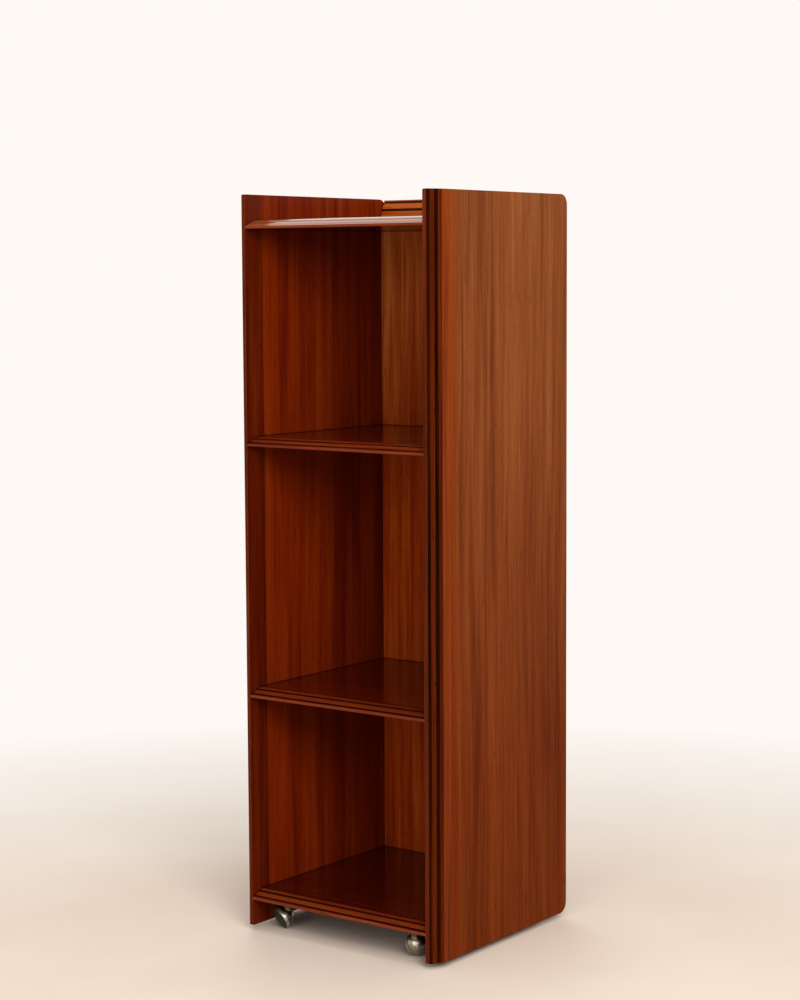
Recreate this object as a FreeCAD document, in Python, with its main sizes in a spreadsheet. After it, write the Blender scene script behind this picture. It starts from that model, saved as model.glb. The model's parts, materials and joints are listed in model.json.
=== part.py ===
import FreeCAD, Part
import math
import os
import Sketcher
from FreeCAD import Placement, Rotation, Vector

# Tall open shelving unit on four ball castors, in millimetres.
# Origin: on the floor, under the middle of the unit. +Z is up and the open front faces -Y.

doc = FreeCAD.newDocument("ShelvingUnit")
sheet = doc.addObject("Spreadsheet::Sheet", "Sizes")

# Driving dimensions, one per row: name, value and what it is.
driving = [
    ("overallWidth", 409.0, "outside of one side to outside of the other"),
    ("sideDepth", 390.0, "front edge to rear edge of a side"),
    ("sideHeight", 1250.0, "bottom edge to top edge of a side"),
    ("floorGap", 9.0, "floor to the bottom edge of a side"),
    ("sideThick", 20.0, "thickness of a side"),
    ("shelfThick", 15.0, "thickness of a shelf"),
    ("backThick", 15.0, "thickness of the back"),
    ("backDrop", 1.5, "top of the sides down to the top of the back"),
    ("bottomShelfUp", 46.0, "bottom of the sides to underside of the bottom shelf"),
    ("lowerShelfUp", 398.5, "bottom of the sides to underside of the lower shelf"),
    ("upperShelfUp", 828.0, "bottom of the sides to underside of the upper shelf"),
    ("topShelfDown", 57.0, "top of the sides down to the underside of the top shelf"),
    ("rearCorner", 18.0, "radius of the two rear corners of a side"),
    ("frontCorner", 4.0, "radius of the two front corners of a side"),
    ("lippingWidth", 45.0, "width of the solid lipping"),
    ("sideEdge", 6.5, "flat front edge left on a side"),
    ("shelfEdge", 4.0, "flat edge left on a shelf and on the back"),
    ("sideCrown", 0.4, "swell of the sloping face on a side"),
    ("shelfCrown", 1.2, "swell of the sloping face on a shelf and the back"),
    ("sideSlope", 25.0, "front edge of a side to the end of its sloping face"),
    ("shelfSlope", 30.0, "front edge of a shelf to the end of its sloping face"),
    ("sideGrooveIn", 14.3, "front edge of a side to the middle of its main groove"),
    ("shelfGrooveIn", 17.0, "front edge of a shelf to the middle of its main groove"),
    ("grooveDeep", 2.2, "depth of the main grooves"),
    ("sideQuirkIn", 2.0, "front edge of a side to the middle of its thin line"),
    ("shelfQuirkIn", 3.0, "front edge of a shelf to the middle of its thin line"),
    ("quirkDeep", 1.6, "depth of the thin lines"),
    ("tongueThick", 5.0, "thickness of the tongue that holds a lipping"),
    ("tongueLong", 8.0, "length of that tongue"),
    ("tongueStop", 14.0, "end of a board to the start of its tongue"),
    ("dowelWide", 8.0, "diameter of a dowel"),
    ("dowelLong", 30.0, "length of a dowel"),
    ("dowelInSide", 12.0, "length of a dowel that is in the side"),
    ("dowelMargin", 28.0, "board edge to the nearest dowel"),
    ("screwHeadWide", 7.6, "diameter of a back screw's head"),
    ("screwHeadTall", 2.6, "depth of a back screw's countersink"),
    ("screwWide", 3.8, "diameter of a back screw"),
    ("screwLong", 35.0, "length of a back screw"),
    ("screwMargin", 60.0, "inside of a side to the nearest back screw"),
    ("topScrewDrop", 2.5, "middle of the top shelf down to its back screws"),
    ("ballWide", 40.0, "diameter of a ball castor"),
    ("ballUp", 19.89, "floor to the middle of the ball, which stands on its tread's edge"),
    ("ballGap", 1.6, "gap between hood and wheel"),
    ("axleTilt", 26.0, "how far the wheel's axle dips, in degrees"),
    ("hoodWall", 2.5, "wall of the hood"),
    ("hubWide", 12.0, "diameter of the hood's hub"),
    ("axleWide", 6.0, "diameter of the axle"),
    ("axleInHood", 14.0, "middle of the ball to the axle's end in the hood"),
    ("axleInWheel", 8.5, "middle of the ball to the axle's end in the wheel"),
    ("runningPlay", 0.05, "radial clearance of a turning fit"),
    ("endPlay", 0.3, "end clearance of a turning fit"),
    ("treadWide", 6.8, "middle of the ball to the outer edge of the tread"),
    ("treadSeat", 27.6, "diameter that the tread sits on"),
    ("domeWide", 36.4, "diameter of the wheel's shallow dome"),
    ("domeUp", 12.0, "middle of the ball to the top of that dome"),
    ("washerThick", 1.0, "thickness of the castor's washer"),
    ("offsetAlong", 5.0, "swivel axis to the ball's middle, along the axle"),
    ("offsetTrail", 7.0, "swivel axis to the ball's middle, in the rolling direction"),
    ("neckWide", 16.0, "diameter of the hood's neck"),
    ("neckStart", 11.0, "middle of the ball up to the foot of the neck"),
    ("stemWide", 8.0, "diameter of the stem"),
    ("stemStart", 14.0, "middle of the ball up to the foot of the stem"),
    ("stemHeadWide", 13.6, "diameter of the stem's head"),
    ("stemHeadTall", 2.5, "height of the stem's head"),
    ("plateWide", 40.0, "side of the square mounting plate"),
    ("plateThick", 2.5, "thickness of the mounting plate"),
    ("plateCorner", 4.0, "corner radius of the mounting plate"),
    ("cupWide", 20.0, "diameter of the plate's cup"),
    ("cupDeep", 7.5, "how far the cup stands below the plate"),
    ("cupFloor", 2.0, "thickness of the cup's floor"),
    ("cupBore", 15.0, "diameter of the space in the cup"),
    ("plateHole", 14.5, "middle of the plate to a screw, along each side"),
    ("smallScrewWide", 3.2, "diameter of a castor screw"),
    ("smallScrewLong", 12.0, "length of a castor screw in the wood"),
    ("smallHeadWide", 6.4, "diameter of a castor screw's head"),
    ("smallHeadTall", 1.8, "height of a castor screw's head"),
    ("castorFromLeft", 41.0, "inside of the left side to the left swivel axes"),
    ("castorFromRight", 53.0, "inside of the right side to the right swivel axes"),
    ("castorFromFront", 45.0, "front edge to the front swivel axes"),
    ("castorFromBack", 45.0, "rear edge to the rear swivel axes"),
]


class Size:
    # A length with its number and the expression that ties it to the sheet.
    def __init__(self, value, text):
        self.value = value
        self.text = text

    def __add__(self, other):
        other = asSize(other)
        return Size(self.value + other.value, f"({self.text} + {other.text})")

    def __sub__(self, other):
        other = asSize(other)
        return Size(self.value - other.value, f"({self.text} - {other.text})")

    def __mul__(self, other):
        other = asSize(other)
        return Size(self.value * other.value, f"({self.text} * {other.text})")

    def __truediv__(self, other):
        other = asSize(other)
        return Size(self.value / other.value, f"({self.text} / {other.text})")

    def __neg__(self):
        return Size(-self.value, f"(-1 * {self.text})")

    def root(self):
        return Size(math.sqrt(self.value), f"sqrt({self.text})")


def asSize(value):
    return value if isinstance(value, Size) else Size(float(value), f"{float(value):g}")


for row, (name, value, note) in enumerate(driving, start=1):
    sheet.set(f"A{row}", note)
    sheet.set(f"B{row}", str(value))
    sheet.setAlias(f"B{row}", name)
doc.recompute()
size = {name: Size(float(sheet.get(name)), f"Sizes.{name}") for name, _, _ in driving}

# Planes and levels that several pieces share.
outsideX = size["overallWidth"] / 2
insideX = outsideX - size["sideThick"]
frontY = -(size["sideDepth"] / 2)
rearY = size["sideDepth"] / 2
lippingY = frontY + size["lippingWidth"]
backY = rearY - size["backThick"]
footZ = size["floorGap"]
topZ = footZ + size["sideHeight"]
backTopZ = topZ - size["backDrop"]
shelfZ = {
    "bottom": footZ + size["bottomShelfUp"],
    "lower": footZ + size["lowerShelfUp"],
    "upper": footZ + size["upperShelfUp"],
    "top": topZ - size["topShelfDown"],
}
parts = []


def keep(obj, label):
    # Marks an object as a finished sub-part.
    obj.Label = label
    parts.append(obj)
    return obj


def place(obj, where):
    for axis, measure in zip("xyz", where):
        obj.setExpression(f"Placement.Base.{axis}", asSize(measure).text)


def box(name, lengths, where, turn=None):
    obj = doc.addObject("Part::Box", name)
    if turn:
        obj.Placement = Placement(Vector(0, 0, 0), turn)
    for prop, measure in zip(("Length", "Width", "Height"), lengths):
        obj.setExpression(prop, asSize(measure).text)
    place(obj, where)
    return obj


def cylinder(name, radius, height, where, turn=None):
    obj = doc.addObject("Part::Cylinder", name)
    if turn:
        obj.Placement = Placement(Vector(0, 0, 0), turn)
    obj.setExpression("Radius", asSize(radius).text)
    obj.setExpression("Height", asSize(height).text)
    place(obj, where)
    return obj


def group(name, members):
    obj = doc.addObject("Part::Compound", name)
    obj.Links = members
    return obj


def joined(name, members):
    obj = doc.addObject("Part::MultiFuse", name)
    obj.Shapes = members
    obj.Refine = True
    return obj


def cut(name, base, tool):
    obj = doc.addObject("Part::Cut", name)
    obj.Base = base
    obj.Tool = tool
    return obj


def rounded(name, base, radius, chosen):
    # Rounds the straight edges of a box that the chosen rule picks by their middle point.
    doc.recompute()
    obj = doc.addObject("Part::Fillet", name)
    obj.Base = base
    obj.Edges = [(number, radius.value, radius.value)
                 for number, edge in enumerate(base.Shape.Edges, start=1)
                 if chosen(edge.CenterOfMass, edge.tangentAt(edge.FirstParameter))]
    return obj


# The moulded face of a lipping: an arc from the flat edge up to the full thickness, with
# a main groove and a thin line cut into it. Across is measured back from the front edge
# and up from the plain face.
def mouldingArc(kind, thick):
    # The kind is side or shelf, and the back's moulding is cut as a shelf's.
    width = size[kind + "Slope"]
    edge = size[kind + "Edge"]
    crown = size[kind + "Crown"]
    rise = thick - edge
    chord = (width * width + rise * rise).root()
    radius = (chord * chord / 4 + crown * crown) / (crown * 2)
    back = width / 2 + rise / chord * (radius - crown)
    up = (edge + thick) / 2 - width / chord * (radius - crown)
    return radius, back, up


def faceHeight(arc, across):
    radius, back, up = arc
    reach = across - back
    return up + (radius * radius - reach * reach).root()


def moulding(name, kind, blank, length, thick, spot, axisTurn, notchTurn, cylinderStart):
    # spot(across, up) gives a point of the moulding's section in the unit's own frame.
    arc = mouldingArc(kind, thick)
    radius, back, up = arc
    swell = cylinder(name + "Swell", radius, length, cylinderStart(spot(back, up)), axisTurn)
    curved = doc.addObject("Part::Common", name + "Curved")
    curved.Base = blank
    curved.Tool = swell
    notchSide = size["grooveDeep"] * 4
    notches = []
    for word, across, deep in (("Groove", size[kind + "GrooveIn"], size["grooveDeep"]),
                               ("Quirk", size[kind + "QuirkIn"], size["quirkDeep"])):
        floor = spot(across, faceHeight(arc, across) - deep)
        lengths = (notchSide, notchSide, length) if axisTurn is None else (length, notchSide, notchSide)
        notches.append(box(name + word, lengths, cylinderStart(floor), notchTurn))
    return cut(name + "Cut", curved, group(name + "Notches", notches))


def dowelRow(name, levels, depths):
    # Dowels that run across into both sides, one for each level and depth.
    dowels = []
    reach = size["dowelLong"] - size["dowelInSide"]
    for level in levels:
        for depth in depths:
            for hand in (-1, 1):
                start = insideX - reach if hand > 0 else -(insideX + size["dowelInSide"])
                dowels.append(cylinder(f"{name}Peg{len(dowels)}", size["dowelWide"] / 2,
                                       size["dowelLong"], (start, depth, level),
                                       Rotation(Vector(0, 1, 0), 90)))
    return group(name, dowels)


def backScrew(name, x, level):
    # A countersunk screw through the back, with its head flush with the rear face.
    turn = Rotation(Vector(1, 0, 0), 90)
    head = doc.addObject("Part::Cone", name + "Head")
    head.Placement = Placement(Vector(0, 0, 0), turn)
    head.setExpression("Radius1", (size["screwHeadWide"] / 2).text)
    head.setExpression("Radius2", (size["screwWide"] / 2).text)
    head.setExpression("Height", size["screwHeadTall"].text)
    place(head, (x, rearY, level))
    shank = cylinder(name + "Shank", size["screwWide"] / 2, size["screwLong"] - size["screwHeadTall"],
                     (x, rearY - size["screwHeadTall"], level), turn)
    return joined(name, [head, shank])


# Dowels and screws come first, because their holes are cut with them.
boardDepths = [lippingY + size["dowelMargin"],
               (lippingY + backY) / 2,
               backY - size["dowelMargin"]]
dowels = {name: keep(dowelRow(name + "ShelfDowels", [level + size["shelfThick"] / 2], boardDepths),
                     name + "_shelf_dowels")
          for name, level in shelfZ.items()}
backLevels = [shelfZ["bottom"] + (backTopZ - shelfZ["bottom"]) * share
              for share in (0.12, 0.5, 0.72, 0.92)]
dowels["back"] = keep(dowelRow("BackDowels", backLevels, [rearY - size["backThick"] / 2]), "back_dowels")

screwPlaces = [-(insideX - size["screwMargin"]), asSize(0), insideX - size["screwMargin"]]
screwLevels = {name: level + size["shelfThick"] / 2 for name, level in shelfZ.items()}
screwLevels["top"] = screwLevels["top"] - size["topScrewDrop"]
screws = keep(group("BackScrews", [backScrew(f"BackScrew{name}{number}", x, level)
                                   for name, level in screwLevels.items()
                                   for number, x in enumerate(screwPlaces)]),
              "back_screws")

# The four castor screws at each swivel axis, and the axes themselves.
castorX = {"left": -(insideX - size["castorFromLeft"]), "right": insideX - size["castorFromRight"]}
castorY = {"front": frontY + size["castorFromFront"], "rear": rearY - size["castorFromBack"]}
plateZ = shelfZ["bottom"] - size["plateThick"]
# Which way each wheel's dome points, in degrees from +X, as the photograph shows the
# front pair and as a free castor may stand at the rear.
headings = {("front", "left"): 250.0, ("front", "right"): 170.0,
            ("rear", "left"): 205.0, ("rear", "right"): 12.0}
castorScrews = []
for end, y in castorY.items():
    for hand, x in castorX.items():
        for alongX in (-1, 1):
            for alongY in (-1, 1):
                spot = (x + size["plateHole"] * alongX, y + size["plateHole"] * alongY)
                name = f"CastorScrew{len(castorScrews)}"
                head = cylinder(name + "Head", size["smallHeadWide"] / 2, size["smallHeadTall"],
                                (*spot, plateZ - size["smallHeadTall"]))
                shank = cylinder(name + "Shank", size["smallScrewWide"] / 2,
                                 size["plateThick"] + size["smallScrewLong"], (*spot, plateZ))
                castorScrews.append(joined(name, [head, shank]))
allCastorScrews = keep(group("CastorScrews", castorScrews), "castor_screws")


def sidePiece(hand):
    # One side: a panel with rounded rear corners, and its moulded lipping on a stopped tongue.
    word = "left" if hand < 0 else "right"
    startX = insideX if hand > 0 else -outsideX
    tongueX = (insideX + size["sideThick"] / 2) * hand - size["tongueThick"] / 2
    tongue = box(f"{word}SideTongue",
                 (size["tongueThick"], size["tongueLong"], size["sideHeight"] - size["tongueStop"] * 2),
                 (tongueX, lippingY - size["tongueLong"], footZ + size["tongueStop"]))
    board = box(f"{word}SideBoard",
                (size["sideThick"], size["sideDepth"] - size["lippingWidth"], size["sideHeight"]),
                (startX, lippingY, footZ))
    middle = (lippingY.value + rearY.value) / 2
    shaped = rounded(f"{word}SideRounded", board, size["rearCorner"],
                     lambda point, way: point.y > middle and abs(way.x) > 0.9)
    panel = joined(f"{word}SidePanel", [shaped, tongue])
    keep(cut(f"{word}SideDrilled", panel, group(f"{word}SideHoles", list(dowels.values()))),
         f"side_panel_{word}")

    blank = box(f"{word}LippingBlank", (size["sideThick"], size["lippingWidth"], size["sideHeight"]),
                (startX, frontY, footZ))
    middleLipping = (frontY.value + lippingY.value) / 2
    eased = rounded(f"{word}LippingEased", blank, size["frontCorner"],
                    lambda point, way: point.y < middleLipping and abs(way.x) > 0.9)
    face = moulding(f"{word}Lipping", "side", eased, size["sideHeight"], size["sideThick"],
                    lambda across, up: ((insideX + up) * hand, frontY + across),
                    None, Rotation(Vector(0, 0, 1), -45 if hand > 0 else 135),
                    lambda point: (point[0], point[1], footZ))
    keep(cut(f"{word}LippingSlotted", face, tongue), f"side_lipping_{word}")


def shelf(name, level):
    # A shelf board between the sides, with its moulded lipping.
    width = insideX * 2
    tongue = box(f"{name}ShelfTongue", (width - size["tongueStop"] * 2, size["tongueLong"], size["tongueThick"]),
                 (-(insideX - size["tongueStop"]), lippingY - size["tongueLong"],
                  level + (size["shelfThick"] - size["tongueThick"]) / 2))
    board = box(f"{name}ShelfBoard", (width, backY - lippingY, size["shelfThick"]),
                (-insideX, lippingY, level))
    holes = [dowels[name], screws]
    if name == "bottom":
        holes.append(allCastorScrews)
    keep(cut(f"{name}ShelfDrilled", joined(f"{name}ShelfWhole", [board, tongue]),
             group(f"{name}ShelfHoles", holes)), f"{name}_shelf")

    blank = box(f"{name}LippingBlank", (width, size["lippingWidth"], size["shelfThick"]),
                (-insideX, frontY, level))
    face = moulding(f"{name}Lipping", "shelf", blank, width, size["shelfThick"],
                    lambda across, up: (frontY + across, level + up),
                    Rotation(Vector(0, 1, 0), 90), Rotation(Vector(1, 0, 0), 45),
                    lambda point: (-insideX, point[0], point[1]))
    slots = [tongue, allCastorScrews] if name == "bottom" else [tongue]
    keep(cut(f"{name}LippingSlotted", face, group(f"{name}LippingSlots", slots)), f"{name}_shelf_lipping")


def back():
    # The back stands between the sides, flush with their rear edges, and runs up past
    # the top shelf to a moulded lipping of its own.
    width = insideX * 2
    foot = shelfZ["bottom"]
    seam = backTopZ - size["lippingWidth"]
    tongue = box("BackTongue", (width - size["tongueStop"] * 2, size["tongueThick"], size["tongueLong"]),
                 (-(insideX - size["tongueStop"]), rearY - (size["backThick"] + size["tongueThick"]) / 2, seam))
    board = box("BackBoard", (width, size["backThick"], seam - foot), (-insideX, backY, foot))
    keep(cut("BackDrilled", joined("BackWhole", [board, tongue]),
             group("BackHoles", [dowels["back"], screws])), "back_panel")

    blank = box("BackLippingBlank", (width, size["backThick"], size["lippingWidth"]),
                (-insideX, backY, seam))
    face = moulding("BackLipping", "shelf", blank, width, size["backThick"],
                    lambda across, up: (rearY - up, backTopZ - across),
                    Rotation(Vector(0, 1, 0), 90), Rotation(Vector(1, 0, 0), 135),
                    lambda point: (-insideX, point[0], point[1]))
    keep(cut("BackLippingSlotted", face, group("BackLippingHoles", [tongue, dowels["back"]])),
         "back_lipping")


def turned(name, outline):
    # A body of revolution about its own Z axis. The outline is a closed run of points
    # (radius, height); a point marked round starts an arc about the ball's middle that
    # ends at the next point, and one marked dome an arc that ends square to the axis.
    body = doc.addObject("PartDesign::Body", name)
    sketch = body.newObject("Sketcher::SketchObject", name + "Outline")
    plane = [f for f in body.Origin.OriginFeatures if f.Role == "XZ_Plane"][0]
    sketch.AttachmentSupport = [(plane, "")]
    sketch.MapMode = "FlatFace"
    count = len(outline)
    for number, (radius, height, kind) in enumerate(outline):
        after = outline[(number + 1) % count]
        begin = Vector(radius.value, height.value, 0)
        finish = Vector(after[0].value, after[1].value, 0)
        if kind == "line":
            sketch.addGeometry(Part.LineSegment(begin, finish), False)
            continue
        middle = 0
        if kind == "dome":
            middle = (finish.y ** 2 - begin.y ** 2 - begin.x ** 2) / (finish.y - begin.y) / 2
        bend = math.hypot(begin.x, begin.y - middle)
        low = math.atan2(begin.y - middle, begin.x)
        high = math.atan2(finish.y - middle, finish.x)
        circle = Part.Circle(Vector(0, middle, 0), Vector(0, 0, 1), bend)
        sketch.addGeometry(Part.ArcOfCircle(circle, min(low, high), max(low, high)), False)
    for number, (radius, height, kind) in enumerate(outline):
        # An arc runs anticlockwise, so its first point is the lower one of the two.
        before = outline[number - 1]
        this = 1
        if kind == "round" and math.atan2(height.value, radius.value) > \
                math.atan2(outline[(number + 1) % count][1].value, outline[(number + 1) % count][0].value):
            this = 2
        that = 2
        if before[2] == "round" and math.atan2(height.value, radius.value) < \
                math.atan2(before[1].value, before[0].value):
            that = 1
        sketch.addConstraint(Sketcher.Constraint("Coincident", (number - 1) % count, that, number, this))
        onArc = kind == "round" or before[2] == "round"
        if radius.value > 0 or not onArc:
            up = sketch.addConstraint(Sketcher.Constraint("DistanceY", -1, 1, number, this, height.value))
            sketch.renameConstraint(up, f"up{number}")
            sketch.setExpression(f"Constraints.up{number}", height.text)
        if radius.value == 0 or not onArc:
            out = sketch.addConstraint(Sketcher.Constraint("DistanceX", -1, 1, number, this, radius.value))
            sketch.renameConstraint(out, f"out{number}")
            sketch.setExpression(f"Constraints.out{number}", radius.text)
        if kind == "dome":
            sketch.addConstraint(Sketcher.Constraint("PointOnObject", number, 3, -2))
        if kind == "round":
            sketch.addConstraint(Sketcher.Constraint("Coincident", number, 3, -1, 1))
            bend = (radius * radius + height * height).root()
            arc = sketch.addConstraint(Sketcher.Constraint("Radius", number, bend.value))
            sketch.renameConstraint(arc, f"bend{number}")
            sketch.setExpression(f"Constraints.bend{number}", bend.text)
    turn = body.newObject("PartDesign::Revolution", name + "Turned")
    turn.Profile = sketch
    turn.ReferenceAxis = (sketch, ["V_Axis"])
    turn.Angle = 360.0
    body.Tip = turn
    return body


def chordAt(radius, height):
    return (radius * radius - height * height).root()


def castor(end, hand):
    # One ball castor: plate with a cup, headed stem, hood with neck, axle, washer,
    # domed wheel and its tread.
    word = f"{end}_{hand}"
    tag = end + hand.capitalize()
    x, y = castorX[hand], castorY[end]
    ball = size["ballWide"] / 2
    ballZ = size["ballUp"]
    half = size["ballGap"] / 2
    zero = asSize(0)
    heading = Rotation(Vector(0, 0, 1), headings[(end, hand)])
    swivel = Placement(Vector(x.value, y.value, 0), heading)
    middle = Vector(size["offsetAlong"].value, -size["offsetTrail"].value, ballZ.value)
    tilt = Rotation(Vector(0, 1, 0), 90 + size["axleTilt"].value)
    onAxle = swivel.multiply(Placement(middle, tilt))

    cupBottom = plateZ - size["cupDeep"]
    plate = box(f"{tag}Plate", (size["plateWide"], size["plateWide"], size["plateThick"]),
                (x - size["plateWide"] / 2, y - size["plateWide"] / 2, plateZ))
    soft = rounded(f"{tag}PlateRounded", plate, size["plateCorner"], lambda point, way: abs(way.z) > 0.9)
    cup = cylinder(f"{tag}Cup", size["cupWide"] / 2, size["cupDeep"], (x, y, cupBottom))
    space = cylinder(f"{tag}CupSpace", size["cupBore"] / 2, size["cupDeep"] + size["plateThick"] - size["cupFloor"],
                     (x, y, cupBottom + size["cupFloor"]))
    stemRun = size["stemWide"] / 2 + size["runningPlay"]
    mouth = cylinder(f"{tag}CupMouth", stemRun, size["cupFloor"], (x, y, cupBottom))
    keep(cut(f"{tag}PlateCut", joined(f"{tag}PlateWhole", [soft, cup]),
             group(f"{tag}PlateHoles", [joined(f"{tag}PlateBore", [space, mouth]), allCastorScrews])),
         f"castor_plate_{word}")

    stemFoot = ballZ + size["stemStart"]
    headZ = cupBottom + size["cupFloor"] + size["endPlay"]
    shank = cylinder(f"{tag}Shank", size["stemWide"] / 2, headZ - stemFoot, (x, y, stemFoot))
    head = cylinder(f"{tag}StemHead", size["stemHeadWide"] / 2, size["stemHeadTall"], (x, y, headZ))
    keep(joined(f"{tag}Stem", [shank, head]), f"castor_stem_{word}")

    inner = ball - size["hoodWall"]
    hub = size["hubWide"] / 2
    axle = size["axleWide"] / 2
    hoodBall = turned(f"{tag}HoodBall", [
        (chordAt(ball, half), -half, "line"),
        (chordAt(inner, half), -half, "round"),
        (hub, -chordAt(inner, hub), "line"),
        (hub, -half, "line"),
        (axle, -half, "line"),
        (axle, -size["axleInHood"], "line"),
        (zero, -size["axleInHood"], "line"),
        (zero, -ball, "round"),
    ])
    hoodBall.Placement = onAxle
    neckFoot = ballZ + size["neckStart"]
    neck = cylinder(f"{tag}Neck", size["neckWide"] / 2, cupBottom - size["endPlay"] - neckFoot, (x, y, neckFoot))
    keep(cut(f"{tag}HoodCut", joined(f"{tag}HoodWhole", [hoodBall, neck]), shank), f"castor_hood_{word}")

    pin = doc.addObject("Part::Cylinder", f"{tag}Axle")
    pin.setExpression("Radius", axle.text)
    pin.setExpression("Height", (size["axleInHood"] + size["axleInWheel"]).text)
    pin.Placement = onAxle.multiply(Placement(Vector(0, 0, -size["axleInHood"].value), Rotation()))
    keep(pin, f"castor_axle_{word}")

    bore = axle + size["runningPlay"]
    washer = turned(f"{tag}Washer", [
        (bore, -(size["washerThick"] / 2), "line"),
        (hub, -(size["washerThick"] / 2), "line"),
        (hub, size["washerThick"] / 2, "line"),
        (bore, size["washerThick"] / 2, "line"),
    ])
    washer.Placement = onAxle
    keep(washer, f"castor_washer_{word}")

    seat = size["treadSeat"] / 2
    edge = size["treadWide"]
    boreEnd = size["axleInWheel"] + size["endPlay"]
    wheel = turned(f"{tag}Wheel", [
        (bore, half, "line"),
        (seat, half, "line"),
        (seat, edge, "line"),
        (size["domeWide"] / 2, edge, "dome"),
        (zero, size["domeUp"], "line"),
        (zero, boreEnd, "line"),
        (bore, boreEnd, "line"),
    ])
    wheel.Placement = onAxle
    keep(wheel, f"castor_wheel_{word}")

    tread = turned(f"{tag}Tread", [
        (seat, half, "line"),
        (chordAt(ball, half), half, "round"),
        (chordAt(ball, edge), edge, "line"),
        (seat, edge, "line"),
    ])
    tread.Placement = onAxle
    keep(tread, f"castor_tread_{word}")


for hand in (-1, 1):
    sidePiece(hand)
for name, level in shelfZ.items():
    shelf(name, level)
back()
for end in castorY:
    for hand in castorX:
        castor(end, hand)

doc.recompute()
for obj in doc.Objects:
    if "Invalid" in obj.State or "Error" in obj.State:
        raise RuntimeError(f"{obj.Label} did not build: {obj.State}")
for obj in parts:
    if obj.Shape.isNull() or not obj.Shape.isValid() or not obj.Shape.Solids:
        raise RuntimeError(f"{obj.Label} has no sound solid")

os.makedirs("parts", exist_ok=True)
for obj in parts:
    obj.Shape.exportStep(f"parts/{obj.Label}.step")
    print(obj.Label, len(obj.Shape.Solids), round(obj.Shape.Volume, 1))
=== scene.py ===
import json
import math
import bpy
import bmesh
from mathutils import Matrix, Vector


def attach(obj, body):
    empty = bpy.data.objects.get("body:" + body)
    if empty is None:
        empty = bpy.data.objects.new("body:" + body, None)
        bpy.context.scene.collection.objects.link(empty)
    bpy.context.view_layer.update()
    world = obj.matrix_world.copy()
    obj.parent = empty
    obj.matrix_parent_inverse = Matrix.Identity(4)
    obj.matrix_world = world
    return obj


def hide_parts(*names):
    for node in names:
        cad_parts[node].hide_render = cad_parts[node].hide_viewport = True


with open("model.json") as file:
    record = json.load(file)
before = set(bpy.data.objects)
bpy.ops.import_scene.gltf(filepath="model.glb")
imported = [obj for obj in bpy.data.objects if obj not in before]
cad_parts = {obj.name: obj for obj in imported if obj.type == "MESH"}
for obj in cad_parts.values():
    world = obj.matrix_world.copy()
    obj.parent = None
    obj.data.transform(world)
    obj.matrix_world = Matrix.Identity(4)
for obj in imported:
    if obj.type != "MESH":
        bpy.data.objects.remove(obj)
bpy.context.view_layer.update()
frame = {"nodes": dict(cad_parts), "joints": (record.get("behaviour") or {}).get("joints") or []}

mm = 0.001

# A tall lacquered shelving unit on ball castors. The boards are redrawn here with softened
# arrises and wood grain, and the castors' hoods, wheels and treads are turned again with
# finer steps. Everything else keeps its own mesh and gets a finish.


def linear(red, green, blue):
    # A colour given in 0-255 values, as the shader wants it.
    out = []
    for value in (red, green, blue):
        value = value / 255
        out.append(value / 12.92 if value <= 0.04045 else ((value + 0.055) / 1.055) ** 2.4)
    return (*out, 1.0)


def shaded(colour, amount):
    # The same colour, darker.
    return linear(*[value * amount for value in colour])


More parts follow.
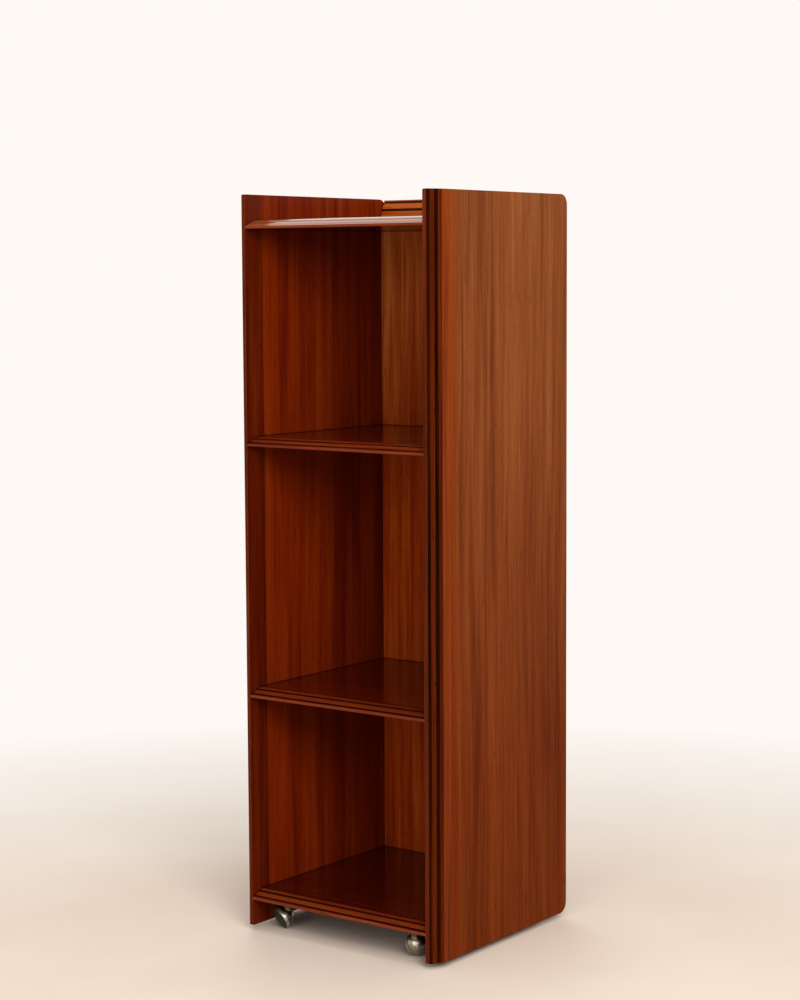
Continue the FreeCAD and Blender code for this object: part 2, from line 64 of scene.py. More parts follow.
class Nodes:
    # Small helper that adds nodes to a material and joins them up.
    def __init__(self, name):
        self.material = bpy.data.materials.new(name)
        self.material.use_nodes = True
        self.tree = self.material.node_tree
        self.tree.nodes.clear()
        self.output = self.add("ShaderNodeOutputMaterial")
        self.shader = self.add("ShaderNodeBsdfPrincipled")
        self.join(self.shader.outputs["BSDF"], self.output.inputs["Surface"])

    def add(self, kind, **values):
        node = self.tree.nodes.new(kind)
        for key, value in values.items():
            setattr(node, key, value)
        return node

    def join(self, source, target):
        self.tree.links.new(source, target)

    def feed(self, node, socket, value):
        # A plain value is set on the socket, anything else is joined to it.
        if isinstance(value, (int, float, tuple)):
            node.inputs[socket].default_value = value
        else:
            self.join(value, node.inputs[socket])

    def place(self, scale=(1, 1, 1), offset=(0, 0, 0)):
        # The object's own coordinates in metres, stretched and moved.
        coords = self.add("ShaderNodeTexCoord")
        return self.stretch(coords.outputs["Object"], scale, offset)

    def stretch(self, vector, scale, offset):
        mapping = self.add("ShaderNodeMapping")
        mapping.inputs["Scale"].default_value = scale
        mapping.inputs["Location"].default_value = offset
        self.join(vector, mapping.inputs["Vector"])
        return mapping.outputs["Vector"]

    def along(self, axis):
        split = self.add("ShaderNodeSeparateXYZ")
        self.join(self.place(), split.inputs[0])
        return split.outputs[axis]

    def noise(self, vector, scale, detail=3.0, rough=0.5, twist=0.0):
        node = self.add("ShaderNodeTexNoise")
        self.join(vector, node.inputs["Vector"])
        node.inputs["Scale"].default_value = scale
        node.inputs["Detail"].default_value = detail
        node.inputs["Roughness"].default_value = rough
        node.inputs["Distortion"].default_value = twist
        return node.outputs["Fac"]

    def ramp(self, value, low, high, start=0.0, end=1.0):
        # Start at low, end at high, and a straight run between them.
        node = self.add("ShaderNodeMapRange")
        self.feed(node, "Value", value)
        node.inputs["From Min"].default_value = low
        node.inputs["From Max"].default_value = high
        node.inputs["To Min"].default_value = start
        node.inputs["To Max"].default_value = end
        return node.outputs["Result"]

    def calc(self, kind, first, second):
        node = self.add("ShaderNodeMath", operation=kind)
        self.feed(node, 0, first)
        self.feed(node, 1, second)
        return node.outputs["Value"]

    def mix(self, amount, first, second, blend="MIX"):
        node = self.add("ShaderNodeMix", data_type="RGBA", blend_type=blend)
        self.feed(node, 0, amount)
        self.feed(node, 6, first)
        self.feed(node, 7, second)
        return node.outputs[2]

    def bump(self, height, distance, strength, under=None):
        node = self.add("ShaderNodeBump")
        self.join(height, node.inputs["Height"])
        node.inputs["Distance"].default_value = distance
        node.inputs["Strength"].default_value = strength
        if under:
            self.join(under, node.inputs["Normal"])
        return node.outputs["Normal"]

    def edges(self, radius):
        # One on the arrises, nought on the flats, and a normal that rounds them off.
        soft = self.add("ShaderNodeBevel", samples=arris["samples"])
        soft.inputs["Radius"].default_value = radius
        flat = self.add("ShaderNodeNewGeometry")
        dot = self.add("ShaderNodeVectorMath", operation="DOT_PRODUCT")
        self.join(soft.outputs["Normal"], dot.inputs[0])
        self.join(flat.outputs["Normal"], dot.inputs[1])
        return self.ramp(dot.outputs["Value"], arris["flat"], arris["sharp"]), soft.outputs["Normal"]


# How wide an arris catches light and wear (metres), and how well the rounded normal agrees with
# the flat one where the wear begins and where it is full.
arris = {"radius": 0.0009, "samples": 8, "flat": 0.995, "sharp": 0.80}

# Wood finishes: colours in 0-255, the way the grain runs, how the lacquer shines, and the shift
# that picks a stretch of the figure. A foot shade is painted shade: the tint the colours take low
# down, where less light falls, gone between the two heights in fade (metres).
woods = {
    # The outside of a side: high up its pale, pinkish colour is a painted reflection of a bright wall, and
    # its foot tint adds painted shade low down.
    "sideWood": {
        "dark": (96, 46, 21), "mid": (124, 65, 31), "light": (144, 86, 47),
        "grain": "z", "gloss": 0.36, "specular": 0.015, "coat": 0.0, "waves": 0.15, "shift": (0, 0, 0),
        "foot": (0.7, 0.43, 0.2), "fade": (0.3, 1.2)},
    "innerWood": {
        "dark": (84, 17, 2), "mid": (111, 31, 3), "light": (128, 44, 6),
        "grain": "z", "gloss": 0.3, "specular": 0.04, "coat": 0.02, "waves": 0.15, "shift": (3, 1, 0)},
    "shelfWood": {
        "dark": (44, 5, 1), "mid": (62, 8, 2), "light": (80, 17, 4),
        "grain": "x", "gloss": 0.22, "specular": 0.3, "coat": 0.5, "waves": 0.12, "shift": (7, 2, 5),
        "foot": (0.86, 0.84, 0.84), "fade": (0.1, 0.5)},
    "backWood": {
        "dark": (124, 45, 14), "mid": (164, 73, 27), "light": (189, 114, 51),
        "grain": "z", "gloss": 0.3, "specular": 0.1, "coat": 0.04, "waves": 0.15, "shift": (1, 9, 4),
        "foot": (0.8, 0.47, 0.22), "fade": (0.75, 1.2)},
    "lippingUpright": {
        "dark": (48, 11, 1), "mid": (70, 20, 2), "light": (88, 32, 6),
        "grain": "z", "gloss": 0.4, "specular": 0.02, "coat": 0.0, "waves": 0.1, "shift": (5, 5, 2)},
    "lippingInner": {
        "dark": (59, 12, 1), "mid": (83, 20, 2), "light": (101, 32, 5),
        "grain": "z", "gloss": 0.36, "specular": 0.06, "coat": 0.0, "waves": 0.1, "shift": (4, 7, 1)},
    "stripUpright": {
        "dark": (94, 34, 4), "mid": (124, 50, 8), "light": (142, 66, 15),
        "grain": "z", "gloss": 0.36, "specular": 0.03, "coat": 0.0, "waves": 0.1, "shift": (2, 8, 2),
        "foot": (0.9, 0.85, 0.7), "fade": (0.55, 1.2)},
    "lippingAcross": {
        "dark": (74, 19, 3), "mid": (106, 35, 7), "light": (130, 54, 14),
        "grain": "x", "gloss": 0.34, "specular": 0.13, "coat": 0.04, "waves": 0.03, "shift": (2, 6, 8)},
    "lippingEdge": {
        "dark": (64, 19, 3), "mid": (88, 31, 7), "light": (110, 46, 14),
        "grain": "z", "gloss": 0.36, "specular": 0.04, "coat": 0.0, "waves": 0.1, "shift": (2, 4, 2)},
    # The sloping face of the top shelf's lipping: its paler, beige colours are a painted highlight of a
    # bright wall, laid over the real gloss of its heavy coat.
    "lippingTopGlossAndHighlight": {
        "dark": (94, 44, 18), "mid": (126, 64, 31), "light": (140, 78, 41),
        "grain": "x", "gloss": 0.14, "specular": 0.8, "coat": 1.0, "waves": 0.0, "shift": (2, 6, 8)},
    "lippingBack": {
        "dark": (106, 37, 4), "mid": (149, 66, 11), "light": (171, 88, 22),
        "grain": "x", "gloss": 0.3, "specular": 0.12, "coat": 0.05, "waves": 0.1, "shift": (6, 1, 3)},
    # Near-black finishes for the groove walls: dirt in the grooves, and painted shade for the shadow in
    # them.
    "grooveDirtAndShadeUpright": {
        "dark": (24, 5, 0), "mid": (40, 11, 1), "light": (60, 20, 4),
        "grain": "z", "gloss": 0.6, "specular": 0.0, "coat": 0.0, "waves": 0.0, "shift": (1, 3, 6)},
    "grooveDirtAndShadeAcross": {
        "dark": (18, 2, 0), "mid": (34, 5, 1), "light": (54, 14, 3),
        "grain": "x", "gloss": 0.6, "specular": 0.02, "coat": 0.0, "waves": 0.0, "shift": (6, 3, 1)},
}
# The outside of a side is warmer beside its lipping: the colour, and from where to where (metres).
warmFront = {"colour": (135, 58, 10), "from": -0.152, "to": -0.118, "amount": 0.75}

# How often each layer of figure repeats in a metre, across the grain and along it, and its strength.
figure = {"broad": (16, 0.9, 0.36), "streak": (70, 1.9, 0.36), "fine": (330, 5.0, 0.28),
          "pore": (620, 34, 0.6)}
# How the grain sways, where its three tones meet, and the pores and specks in it.
grain = {"sway": 0.02, "swayScale": 1.7, "swayDetail": 2.0, "detail": 3.0, "rough": 0.55,
         "darkTo": 0.39, "midAt": 0.50, "lightFrom": 0.63,
         "poreFrom": 0.60, "poreTo": 0.70, "deep": 0.55,
         "speck": 210, "speckStretch": (1, 1, 0.6), "speckFrom": 0.735, "speckTo": 0.77, "speckAmount": 0.8}
# Old polish and painted shade darkening the grooves and inner corners, and lacquer rubbed thin on the
# arrises.
age = {"nookReach": 0.0035, "nookSamples": 6, "nookOpen": 0.86, "nookShut": 0.52, "dirtAndShade": 0.96,
       "dirtAndShadeDarkness": 0.2, "rubScale": 38.0, "rubFrom": 0.42, "rubTo": 0.64, "rubLeast": 0.05,
       "rubMost": 0.7, "openFrom": 0.80, "openTo": 0.97, "worn": (150, 84, 48), "wornRough": 0.25}
# The smears in the lacquer's gloss, and the relief under it (depths in metres).
lacquer = {"smearScale": 9.0, "smearFrom": 0.35, "smearTo": 0.7, "glossier": 0.05, "duller": 0.08,
           "coatRough": 0.08, "fineDeep": 0.0002, "fineShow": 0.2, "poreDeep": 0.00015,
           "poreShow": 0.15, "waveScale": 11.0, "waveDeep": 0.0005}


def grainLayers(n, look):
    # The grain wanders a little from straight, as sawn boards do.
    drift = n.add("ShaderNodeTexNoise")
    n.join(n.place(offset=look["shift"]), drift.inputs["Vector"])
    drift.inputs["Scale"].default_value = grain["swayScale"]
    drift.inputs["Detail"].default_value = grain["swayDetail"]
    swayed = n.add("ShaderNodeVectorMath", operation="MULTIPLY_ADD")
    n.join(drift.outputs["Color"], swayed.inputs[0])
    swayed.inputs[1].default_value = [grain["sway"]] * 3
    n.join(n.place(), swayed.inputs[2])
    layers = {}
    for layer in figure:
        across, along = figure[layer][:2]
        scale = (along, across, across) if look["grain"] == "x" else (across, across, along)
        spot = n.stretch(swayed.outputs["Vector"], scale, look["shift"])
        layers[layer] = n.noise(spot, 1.0, grain["detail"], grain["rough"])
    return layers


def grainColour(n, look, layers):
    tone = None
    for layer in ("broad", "streak", "fine"):
        part = n.calc("MULTIPLY", layers[layer], figure[layer][2])
        tone = part if tone is None else n.calc("ADD", tone, part)
    rising = n.ramp(tone, grain["darkTo"], grain["midAt"])
    colour = n.mix(rising, linear(*look["dark"]), linear(*look["mid"]))
    return n.mix(n.ramp(tone, grain["midAt"], grain["lightFrom"]), colour, linear(*look["light"]))


def pitted(n, look, colour, pore):
    # Open pores along the grain and a few dark specks.
    deep = shaded(look["dark"], grain["deep"])
    pits = n.ramp(pore, grain["poreFrom"], grain["poreTo"], 0.0, figure["pore"][2])
    colour = n.mix(pits, colour, deep)
    speck = n.noise(n.place(grain["speckStretch"], look["shift"]), grain["speck"], detail=1.0)
    dots = n.ramp(speck, grain["speckFrom"], grain["speckTo"], 0.0, grain["speckAmount"])
    return n.mix(dots, colour, deep)


def wood(name):
    look = woods[name]
    n = Nodes(name)
    layers = grainLayers(n, look)
    colour = grainColour(n, look, layers)
    if name == "sideWood":
        warm = n.ramp(n.along("Y"), warmFront["from"], warmFront["to"], warmFront["amount"], 0.0)
        colour = n.mix(warm, colour, linear(*warmFront["colour"]))
    colour = pitted(n, look, colour, layers["pore"])
    # Painted shade with dirt and old polish: the grooves and inner corners turn dark where the ambient
    # occlusion closes in.
    nook = n.add("ShaderNodeAmbientOcclusion", samples=age["nookSamples"])
    nook.inputs["Distance"].default_value = age["nookReach"]
    dirtAndShade = n.ramp(nook.outputs["AO"], age["nookOpen"], age["nookShut"], 0.0, age["dirtAndShade"])
    colour = n.mix(dirtAndShade, colour, shaded(look["dark"], age["dirtAndShadeDarkness"]))
    # Lacquer rubbed thin along the arrises, in patches.
    worn, soft = n.edges(arris["radius"])
    rub = n.noise(n.place(offset=look["shift"]), age["rubScale"], detail=4.0, rough=0.65)
    rub = n.ramp(rub, age["rubFrom"], age["rubTo"], age["rubLeast"], age["rubMost"])
    wear = n.calc("MULTIPLY", worn, rub)
    wear = n.calc("MULTIPLY", wear, n.ramp(nook.outputs["AO"], age["openFrom"], age["openTo"]))
    colour = n.mix(wear, colour, linear(*age["worn"]))
    # Painted shade: the colours darken towards the foot, where less light falls.
    if "foot" in look:
        low = n.ramp(n.along("Z"), *look["fade"], 1.0, 0.0)
        colour = n.mix(low, colour, n.mix(1.0, colour, (*look["foot"], 1.0), "MULTIPLY"))
    n.join(colour, n.shader.inputs["Base Color"])
    smear = n.noise(n.place(), lacquer["smearScale"], detail=4.0, rough=0.6)
    rough = n.ramp(smear, lacquer["smearFrom"], lacquer["smearTo"],
                   look["gloss"] - lacquer["glossier"], look["gloss"] + lacquer["duller"])
    rough = n.calc("ADD", rough, n.calc("MULTIPLY", wear, age["wornRough"]))
    n.join(rough, n.shader.inputs["Roughness"])
    n.shader.inputs["Specular IOR Level"].default_value = look["specular"]
    n.shader.inputs["Coat Weight"].default_value = look["coat"]
    n.shader.inputs["Coat Roughness"].default_value = lacquer["coatRough"]
    relief = n.bump(layers["fine"], lacquer["fineDeep"], lacquer["fineShow"], soft)
    relief = n.bump(layers["pore"], lacquer["poreDeep"], lacquer["poreShow"], relief)
    waves = n.noise(n.place(), lacquer["waveScale"], detail=2.0)
    relief = n.bump(waves, lacquer["waveDeep"], look["waves"], relief)
    n.join(relief, n.shader.inputs["Normal"])
    n.join(soft, n.shader.inputs["Coat Normal"])
    return n.material


# Small plain finishes: two colours in 0-255, how the cloud of noise is stretched and how often
# it repeats, where one colour gives way to the other, roughness, and depth of the relief.
plains = {
    "dowelWood": {"first": (170, 126, 84), "second": (206, 168, 122), "stretch": (3, 60, 60),
                  "scale": 12.0, "grain": 0.6, "change": (0.35, 0.65), "rough": (0.55, 0.75),
                  "relief": (0.0002, 0.3)},
    "nylon": {"first": (206, 198, 180), "second": (186, 176, 154), "stretch": (1, 1, 1),
              "scale": 300.0, "grain": 0.5, "change": (0.0, 1.0), "rough": (0.4, 0.6),
              "relief": (0.0001, 0.2)},
}
plainRough = (0.3, 0.7)


def plain(name):
    look = plains[name]
    n = Nodes(name)
    cloud = n.noise(n.place(look["stretch"]), look["scale"], rough=look["grain"])
    colour = n.mix(n.ramp(cloud, *look["change"]), linear(*look["first"]), linear(*look["second"]))
    n.join(colour, n.shader.inputs["Base Color"])
    n.join(n.ramp(cloud, *plainRough, *look["rough"]), n.shader.inputs["Roughness"])
    n.join(n.bump(cloud, *look["relief"]), n.shader.inputs["Normal"])
    return n.material


# Metals and the castors' wheels: base and worn colours in 0-255, roughness from and to, and how metallic.
metals = {
    "nickel": {"base": (158, 150, 138), "worn": (112, 104, 92), "rough": (0.26, 0.4), "metal": 1.0},
    "pressedSteel": {"base": (96, 84, 72), "worn": (60, 51, 43), "rough": (0.38, 0.6), "metal": 1.0},
    "screwSteel": {"base": (172, 164, 150), "worn": (110, 98, 82), "rough": (0.3, 0.5), "metal": 1.0},
    "wheelDark": {"base": (30, 31, 25), "worn": (54, 51, 42), "rough": (0.4, 0.6), "metal": 0.0},
    "wheelRim": {"base": (176, 170, 158), "worn": (120, 114, 102), "rough": (0.26, 0.44), "metal": 0.9},
}
wheelShine = 0.2     # the wheel's dark face is matt and reflects little
# Painted shade and a painted reflection of the wood: the neck is coloured dull brown, the ball below it
# keeps its bright metal (heights in metres).
neckShadeAndReflection = {"heights": (0.031, 0.0385), "amount": 0.9, "colour": (74, 54, 38)}
tarnish = {"cloud": 160.0, "cloudWear": (0.42, 0.68), "cloudRough": (0.35, 0.7), "speck": 900.0,
           "speckWear": (0.64, 0.72), "speckAmount": 0.6, "speckShade": 0.45, "speckRelief": (0.00005, 0.2),
           "scratch": 6.0, "scratchStretch": (30, 30, 400), "scratchRelief": (0.00008, 0.25)}


def metal(name):
    look = metals[name]
    n = Nodes(name)
    cloud = n.noise(n.place(), tarnish["cloud"], detail=5.0, rough=0.62, twist=0.4)
    speck = n.noise(n.place(), tarnish["speck"], detail=2.0)
    scratch = n.noise(n.place(tarnish["scratchStretch"]), tarnish["scratch"], rough=0.6)
    colour = n.mix(n.ramp(cloud, *tarnish["cloudWear"]), linear(*look["base"]), linear(*look["worn"]))
    pits = n.ramp(speck, *tarnish["speckWear"], 0.0, tarnish["speckAmount"])
    colour = n.mix(pits, colour, shaded(look["worn"], tarnish["speckShade"]))
    # Painted shade and a painted reflection of the wood on the neck.
    if name == "nickel":
        neckShading = n.ramp(n.along("Z"), *neckShadeAndReflection["heights"], 0.0, neckShadeAndReflection["amount"])
        colour = n.mix(neckShading, colour, linear(*neckShadeAndReflection["colour"]))
    n.join(colour, n.shader.inputs["Base Color"])
    n.shader.inputs["Metallic"].default_value = look["metal"]
    if name == "wheelDark":
        n.shader.inputs["Specular IOR Level"].default_value = wheelShine
    n.join(n.ramp(cloud, *tarnish["cloudRough"], *look["rough"]), n.shader.inputs["Roughness"])
    relief = n.bump(scratch, *tarnish["scratchRelief"])
    n.join(n.bump(speck, *tarnish["speckRelief"], relief), n.shader.inputs["Normal"])
    return n.material


print("mixing finishes")
finishes = {name: wood(name) for name in woods}
finishes.update({name: metal(name) for name in metals})
finishes.update({name: plain(name) for name in plains})

# Which finish each node gets, by the first of these words that its name holds.
finishWords = [("dowels", "dowelWood"), ("screws", "screwSteel"), ("side_lipping", "lippingUpright"),
               ("lipping", "lippingAcross"), ("side_panel", "sideWood"), ("shelf", "shelfWood"),
               ("back_panel", "backWood"), ("hood", "nickel"), ("plate", "pressedSteel"),
               ("stem", "pressedSteel"), ("axle", "pressedSteel"), ("washer", "nylon"),
               ("wheel", "wheelDark"), ("tread", "wheelRim")]
for node, piece in frame["nodes"].items():
    finish = next(finish for word, finish in finishWords if word in node)
    piece.data.materials.clear()
    piece.data.materials.append(finishes[finish])


# Each wooden part: its node, record slot, finish and the name of its eased board.
levels = ("bottom", "lower", "upper", "top")
woodParts = [
    ("side_panel_left", "side_wood", "sideWood", "leftSide"),
    ("side_panel_right", "side_wood", "sideWood", "rightSide"),
    ("side_lipping_left", "lipping_wood", "lippingUpright", "leftSideLipping"),
    ("side_lipping_right", "lipping_wood", "lippingUpright", "rightSideLipping"),
    ("back_panel", "back_wood", "backWood", "backBoard"),
    ("back_lipping", "lipping_wood", "lippingBack", "backTopLipping"),
]
for level in levels:
    woodParts.append((f"{level}_shelf", "shelf_wood", "shelfWood", f"{level}ShelfBoard"))
    woodParts.append((f"{level}_shelf_lipping", "lipping_wood", "lippingAcross", f"{level}ShelfLipping"))

# Faces that take another finish: which one, the way they look, and between what limits their
# normal agrees with it. A later line wins over an earlier one.
faceFinishes = {
    "top_shelf_lipping": [("lippingTopGlossAndHighlight", (0, -0.35, 0.937), 0.6, 1)],
    "back_lipping": [("grooveDirtAndShadeAcross", (0, -1, 0), 0.6, 0.8)],
    "back_panel": [("sideWood", (0, 1, 0), 0.9, 1)],
}
for side, out in (("left", -1), ("right", 1)):
    faceFinishes[f"side_panel_{side}"] = [("innerWood", (-out, 0, 0), 0.9, 1)]
    faceFinishes[f"side_lipping_{side}"] = [("stripUpright", (out, 0, 0), 0.97, 1),
                                            ("lippingInner", (-out, 0, 0), 0.9, 1),
                                            ("lippingEdge", (0, -1, 0), 0.97, 1),
                                            ("grooveDirtAndShadeUpright", (out, 0, 0), 0.6, 0.8)]
for level in levels[:-1]:
    faceFinishes[f"{level}_shelf_lipping"] = [("shelfWood", (0, 0, 1), 0.97, 1),
                                              ("grooveDirtAndShadeAcross", (0, 0, 1), 0.6, 0.8)]

# How far arrises are eased (mm), which angles count as flat and as an arris (degrees), and
# how near two corners are one and the same (metres).
boards = {"ease": 0.3, "segments": 3, "flatAngle": 0.05, "arrisAngle": 24, "smoothAngle": 40,
          "weld": 0.000002}


def weldedCopy(node):
    # The board's own shape with its doubled corners welded and its flats made whole.
    bm = bmesh.new()
    bm.from_mesh(frame["nodes"][node].data)
    bmesh.ops.remove_doubles(bm, verts=bm.verts, dist=boards["weld"])
    flat = math.radians(boards["flatAngle"])
    bmesh.ops.dissolve_limit(bm, angle_limit=flat, verts=bm.verts, edges=bm.edges)
    return bm


def ease(bm, angle, offset, segments):
    # Rounds off every edge that is sharper than the angle.
    sharp = [edge for edge in bm.edges if edge.is_manifold and edge.calc_face_angle(0) > math.radians(angle)]
    bmesh.ops.bevel(bm, geom=sharp, offset=offset * mm, segments=segments,
                    profile=0.5, affect="EDGES", clamp_overlap=True)


def finished(name, bm, body, finish, node, angle):
    # Makes the piece, lets it ride its body and hides the node it replaces.
    mesh = bpy.data.meshes.new(name)
    bmesh.ops.recalc_face_normals(bm, faces=bm.faces)
    bm.to_mesh(mesh)
    bm.free()
    mesh.polygons.foreach_set("use_smooth", [True] * len(mesh.polygons))
    mesh.set_sharp_from_angle(angle=math.radians(angle))
    mesh.materials.append(finishes[finish])
    piece = bpy.data.objects.new(name, mesh)
    bpy.context.scene.collection.objects.link(piece)
    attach(piece, body)
    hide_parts(node)
    return piece


def easeBoard(node, slotName, finish, name):
    bm = weldedCopy(node)
    ease(bm, boards["arrisAngle"], boards["ease"], boards["segments"])
    piece = finished(name, bm, "case", finish, node, boards["smoothAngle"])
    for number, (other, way, least, most) in enumerate(faceFinishes.get(node, []), start=1):
        piece.data.materials.append(finishes[other])
        for face in piece.data.polygons:
            if least <= round(face.normal.dot(Vector(way)), 4) <= most:
                face.material_index = number
    weigh = piece.modifiers.new("evenShading", "WEIGHTED_NORMAL")
    weigh.keep_sharp = True


print("easing the boards")
for part in woodParts:
    easeBoard(*part)


# A ball castor, in mm: radii and heights along the axle from the middle of the ball, and for
# the neck and the stem's bore heights above the floor.
castor = {"ball": 20.0, "gap": 0.8, "wall": 2.5, "hub": 6.0, "axle": 3.0, "axleIn": 14.0, "axleOut": 8.5,
          "tread": 6.8, "seat": 13.8, "dome": 18.2, "domeTop": 12.0, "play": 0.05, "endPlay": 0.3,
          "neck": 8.0, "neckFoot": 30.89, "neckTop": 44.7, "neckEase": 0.6,
          "stem": 4.0, "stemFoot": 33.89, "past": 3.0}
turning = {"segments": 96, "ballSteps": 28, "ease": 0.35, "easeSegments": 2, "easeAngle": 35,
           "smoothAngle": 32, "weld": 0.000001}


def ballArc(start, stop):
    # Points (radius, height) along a ball's outline, from the start point round to the stop point.
    size = math.hypot(*start)
    low = math.atan2(start[1], start[0])
    high = math.atan2(stop[1], stop[0])
    points = []
    for step in range(turning["ballSteps"] + 1):
        angle = low + (high - low) * step / turning["ballSteps"]
        points.append((size * math.cos(angle), size * math.sin(angle)))
    return points


def rim(size, height):
    # The point of a ball of this size at this height.
    return (math.sqrt(size * size - height * height), height)


def turnedShape(outline):
    # A closed outline of (radius, height) points in mm, turned about the upright axis.
    bm = bmesh.new()
    verts = [bm.verts.new((max(radius, 0) * mm, 0, height * mm)) for radius, height in outline]
    edges = [bm.edges.new((verts[i], verts[(i + 1) % len(verts)])) for i in range(len(verts))]
    bmesh.ops.spin(bm, geom=verts + edges, cent=(0, 0, 0), axis=(0, 0, 1), angle=math.tau,
                   steps=turning["segments"], use_merge=True)
    bmesh.ops.remove_doubles(bm, verts=bm.verts, dist=turning["weld"])
    bmesh.ops.recalc_face_normals(bm, faces=bm.faces)
    return bm


def turned(outline, place, eased=True):
    # The turned shape, eased if asked, and moved to its place.
    bm = turnedShape(outline)
    if eased:
        ease(bm, turning["easeAngle"], turning["ease"], turning["easeSegments"])
    bmesh.ops.transform(bm, matrix=place, verts=bm.verts)
    return bm


def combined(first, second, how):
    # Joins or cuts two shapes into one clean solid and gives back its bmesh.
    objects = []
    for bm in (first, second):
        mesh = bpy.data.meshes.new("blank")
        bm.to_mesh(mesh)
        bm.free()
        objects.append(bpy.data.objects.new("blank", mesh))
        bpy.context.scene.collection.objects.link(objects[-1])
    tool = objects[0].modifiers.new("blend", "BOOLEAN")
    tool.operation = how
    tool.solver = "EXACT"
    tool.object = objects[1]
    bpy.context.view_layer.update()
    result = bmesh.new()
    result.from_object(objects[0], bpy.context.evaluated_depsgraph_get())
    for blank in objects:
        bpy.data.objects.remove(blank)
    return result


def makeHood(word, axle, stemLine):
    # Half a hollow ball with a hub for the axle, a neck on top and the stem's bore in it.
    c = castor
    inner = c["ball"] - c["wall"]
    outline = ballArc(rim(c["ball"], -c["gap"]), (0, -c["ball"]))
    outline += [(0, -c["axleIn"]), (c["axle"], -c["axleIn"]), (c["axle"], -c["gap"]), (c["hub"], -c["gap"])]
    outline += ballArc((c["hub"], -math.sqrt(inner ** 2 - c["hub"] ** 2)), rim(inner, -c["gap"]))
    shell = turned(outline, axle)
    neck = turned([(0, c["neckFoot"]), (c["neck"], c["neckFoot"]), (c["neck"], c["neckTop"] - c["neckEase"]),
                   (c["neck"] - c["neckEase"], c["neckTop"]), (0, c["neckTop"])], stemLine, eased=False)
    over = c["neckTop"] + c["past"]
    bore = turned([(0, c["stemFoot"]), (c["stem"], c["stemFoot"]), (c["stem"], over), (0, over)],
                  stemLine, eased=False)
    whole = combined(combined(shell, neck, "UNION"), bore, "DIFFERENCE")
    finished(f"hood_{word}", whole, f"swivel_{word}", "nickel",
             f"castor_hood_{word}", turning["smoothAngle"])


def makeWheel(word, axle):
    # A disc with a shallow dome, hollow where the axle runs.
    c = castor
    bore = c["axle"] + c["play"]
    end = c["axleOut"] + c["endPlay"]
    centre = (c["domeTop"] ** 2 - c["tread"] ** 2 - c["dome"] ** 2) / (c["domeTop"] - c["tread"]) / 2
    cap = ballArc((c["dome"], c["tread"] - centre), (0, c["domeTop"] - centre))
    outline = [(bore, c["gap"]), (c["seat"], c["gap"]), (c["seat"], c["tread"])]
    outline += [(radius, height + centre) for radius, height in cap]
    outline += [(0, end), (bore, end)]
    finished(f"wheel_{word}", turned(outline, axle), f"wheel_{word}", "wheelDark",
             f"castor_wheel_{word}", turning["smoothAngle"])


def makeTread(word, axle):
    # The pale rim round the wheel, a slice of the ball.
    c = castor
    outline = [(c["seat"], c["gap"])]
    outline += ballArc(rim(c["ball"], c["gap"]), rim(c["ball"], c["tread"]))
    outline += [(c["seat"], c["tread"])]
    finished(f"tread_{word}", turned(outline, axle), f"wheel_{word}", "wheelRim",
             f"castor_tread_{word}", turning["smoothAngle"])


print("turning the castors")
joints = {joint["name"]: joint for joint in frame["joints"]}
for word in ("front_left", "front_right", "rear_left", "rear_right"):
    roll = joints[f"roll_{word}"]
    way = Vector(roll["axis"]).normalized()
    axle = Matrix.Translation(roll["pos_m"]) @ way.to_track_quat("Z", "Y").to_matrix().to_4x4()
    stemLine = Matrix.Translation((*joints[f"swivel_{word}"]["pos_m"][:2], 0))
    makeHood(word, axle, stemLine)
    makeWheel(word, axle)
    makeTread(word, axle)


# The floor: a wide pale disc that fades out to white away from the object. Colours in 0-255,
# radius and fade in metres; shift moves the middle of the fade.
floor = {"radius": 14.0, "segments": 96, "drop": 0.0002, "near": (222, 206, 191), "worn": (228, 213, 199),
         "far": (254, 249, 244), "fade": (0.8, 2.25), "shift": (-0.25, 0.38, 0), "cloud": 3.0,
         "cloudWear": (0.3, 0.7), "rough": 0.6, "specular": 0.2}


def floorPaint():
    n = Nodes("floorPaint")
    length = n.add("ShaderNodeVectorMath", operation="LENGTH")
    n.join(n.place(offset=floor["shift"]), length.inputs[0])
    cloud = n.noise(n.place(), floor["cloud"], detail=4.0, rough=0.55)
    near = n.mix(n.ramp(cloud, *floor["cloudWear"]), linear(*floor["near"]), linear(*floor["worn"]))
    n.join(near, n.shader.inputs["Base Color"])
    n.shader.inputs["Roughness"].default_value = floor["rough"]
    n.shader.inputs["Specular IOR Level"].default_value = floor["specular"]
    # Away from the object the floor turns white for the camera and in reflections.
    glow = n.add("ShaderNodeEmission")
    glow.inputs["Color"].default_value = linear(*floor["far"])
    path = n.add("ShaderNodeLightPath")
    seen = n.calc("MAXIMUM", path.outputs["Is Camera Ray"], path.outputs["Is Glossy Ray"])
    seen = n.calc("MAXIMUM", seen, path.outputs["Is Transmission Ray"])
    fade = n.calc("MULTIPLY", seen, n.ramp(length.outputs["Value"], *floor["fade"]))
    blend = n.add("ShaderNodeMixShader")
    n.join(fade, blend.inputs[0])
    n.join(n.shader.outputs["BSDF"], blend.inputs[1])
    n.join(glow.outputs["Emission"], blend.inputs[2])
    n.join(blend.outputs["Shader"], n.output.inputs["Surface"])
    return n.material


def layFloor():
    mesh = bpy.data.meshes.new("floor")
    bm = bmesh.new()
    bmesh.ops.create_circle(bm, cap_ends=True, segments=floor["segments"], radius=floor["radius"])
    bm.to_mesh(mesh)
    bm.free()
    mesh.materials.append(floorPaint())
    piece = bpy.data.objects.new("floor", mesh)
    bpy.context.scene.collection.objects.link(piece)
    piece.location.z = -floor["drop"]


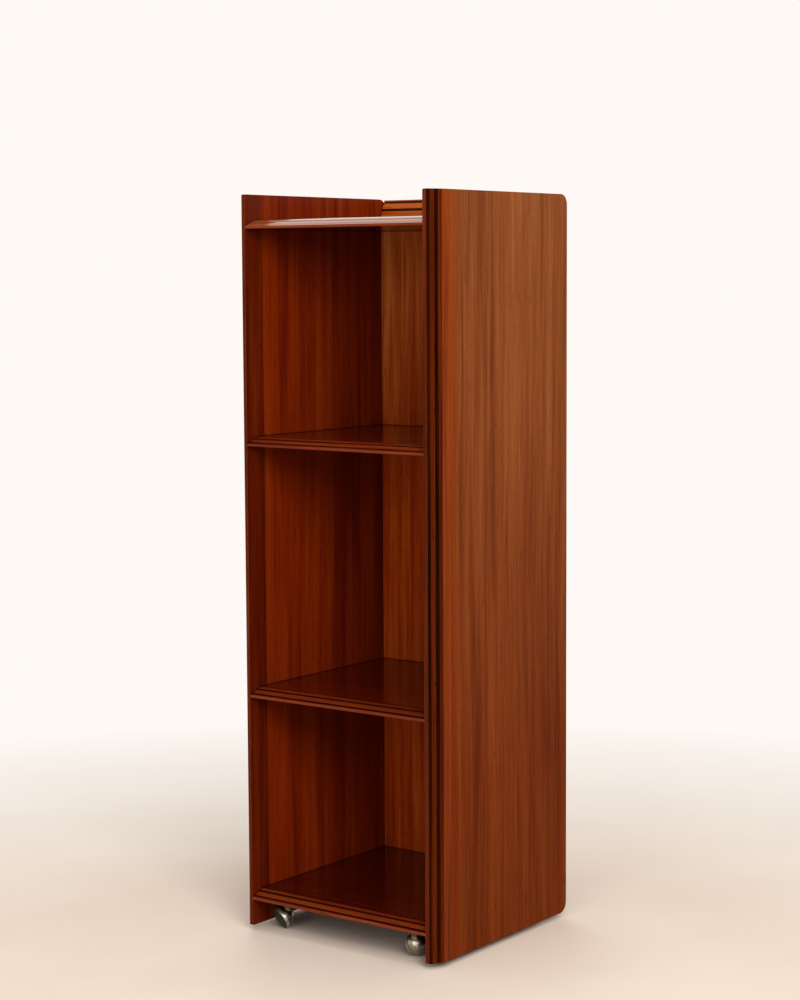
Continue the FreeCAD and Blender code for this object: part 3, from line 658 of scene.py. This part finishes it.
# Area lamps: places in metres, power in watts. The one behind stays out of reflections, where
# it would draw a hard white line along the top shelf.
lamps = {
    "windowLight": {"spot": (2.9, -2.3, 2.3), "aim": (0, 0, 0.65), "size": (1.7, 1.7), "power": 118,
                    "tint": (1, 0.98, 0.95), "inGloss": True},
    "frontFill": {"spot": (0.7, -3.6, 1.4), "aim": (0, 0, 0.65), "size": (1.6, 1.8), "power": 30,
                  "tint": (1, 0.98, 0.95), "inGloss": True},
    "topLight": {"spot": (0.4, -0.4, 3.4), "aim": (0, 0, 0), "size": (2.8, 2.8), "power": 46,
                 "tint": (1, 0.99, 0.97), "inGloss": True},
    "lowFill": {"spot": (0.9, -2.6, 0.45), "aim": (0, -0.1, 0), "size": (0.9, 0.5), "power": 2,
                "tint": (1, 0.98, 0.95), "inGloss": True},
    "rearFill": {"spot": (-2.6, 2.6, 2.0), "aim": (0, 0, 0.6), "size": (2.0, 2.0), "power": 40,
                 "tint": (1, 0.98, 0.96), "inGloss": False},
}


def hangLamp(name, lamp):
    data = bpy.data.lights.new(name, "AREA")
    data.shape = "RECTANGLE"
    data.size, data.size_y = lamp["size"]
    data.energy = lamp["power"]
    data.color = lamp["tint"]
    fitting = bpy.data.objects.new(name, data)
    bpy.context.scene.collection.objects.link(fitting)
    fitting.location = lamp["spot"]
    way = Vector(lamp["aim"]) - Vector(lamp["spot"])
    fitting.rotation_euler = way.to_track_quat("-Z", "Y").to_euler()
    fitting.visible_glossy = lamp["inGloss"]


# The room: the soft light it gives, and the white that the camera and reflections see.
room = {"tint": (1, 0.97, 0.93, 1), "strength": 0.4, "seen": floor["far"], "seenStrength": 1.0}


def lightRoom():
    for name, lamp in lamps.items():
        hangLamp(name, lamp)
    world = bpy.data.worlds.new("softRoom")
    world.use_nodes = True
    tree = world.node_tree
    tree.nodes.clear()
    out = tree.nodes.new("ShaderNodeOutputWorld")
    soft = tree.nodes.new("ShaderNodeBackground")
    seen = tree.nodes.new("ShaderNodeBackground")
    pick = tree.nodes.new("ShaderNodeMixShader")
    path = tree.nodes.new("ShaderNodeLightPath")
    most = tree.nodes.new("ShaderNodeMath")
    more = tree.nodes.new("ShaderNodeMath")
    most.operation = more.operation = "MAXIMUM"
    soft.inputs["Color"].default_value = room["tint"]
    soft.inputs["Strength"].default_value = room["strength"]
    seen.inputs["Color"].default_value = linear(*room["seen"])
    seen.inputs["Strength"].default_value = room["seenStrength"]
    tree.links.new(path.outputs["Is Camera Ray"], most.inputs[0])
    tree.links.new(path.outputs["Is Glossy Ray"], most.inputs[1])
    tree.links.new(most.outputs[0], more.inputs[0])
    tree.links.new(path.outputs["Is Transmission Ray"], more.inputs[1])
    tree.links.new(more.outputs[0], pick.inputs[0])
    tree.links.new(soft.outputs[0], pick.inputs[1])
    tree.links.new(seen.outputs[0], pick.inputs[2])
    tree.links.new(pick.outputs[0], out.inputs["Surface"])
    bpy.context.scene.world = world


# The camera, worked out from the photograph's straight edges: metres and degrees.
view = {"spot": (2.28662, -3.05270, 1.12564), "yaw": 36.812, "pitch": 5.385, "roll": -0.302,
        "focalPixels": 2238.7, "imageHeight": 1000, "sensor": 36.0, "shift": (-0.005, -0.0153),
        "farClip": 60}


def setCamera():
    data = bpy.data.cameras.new("photoView")
    data.sensor_fit = "VERTICAL"
    data.sensor_height = view["sensor"]
    data.lens = view["focalPixels"] * view["sensor"] / view["imageHeight"]
    data.clip_end = view["farClip"]
    data.shift_x, data.shift_y = view["shift"]
    camera = bpy.data.objects.new("photoView", data)
    bpy.context.scene.collection.objects.link(camera)
    turn = (Matrix.Rotation(math.radians(view["yaw"]), 4, "Z")
            @ Matrix.Rotation(math.radians(90 - view["pitch"]), 4, "X")
            @ Matrix.Rotation(math.radians(view["roll"]), 4, "Z"))
    camera.matrix_world = Matrix.Translation(view["spot"]) @ turn
    bpy.context.scene.camera = camera


print("setting the stage")
layFloor()
lightRoom()
setCamera()
bpy.context.scene.view_settings.view_transform = "Standard"
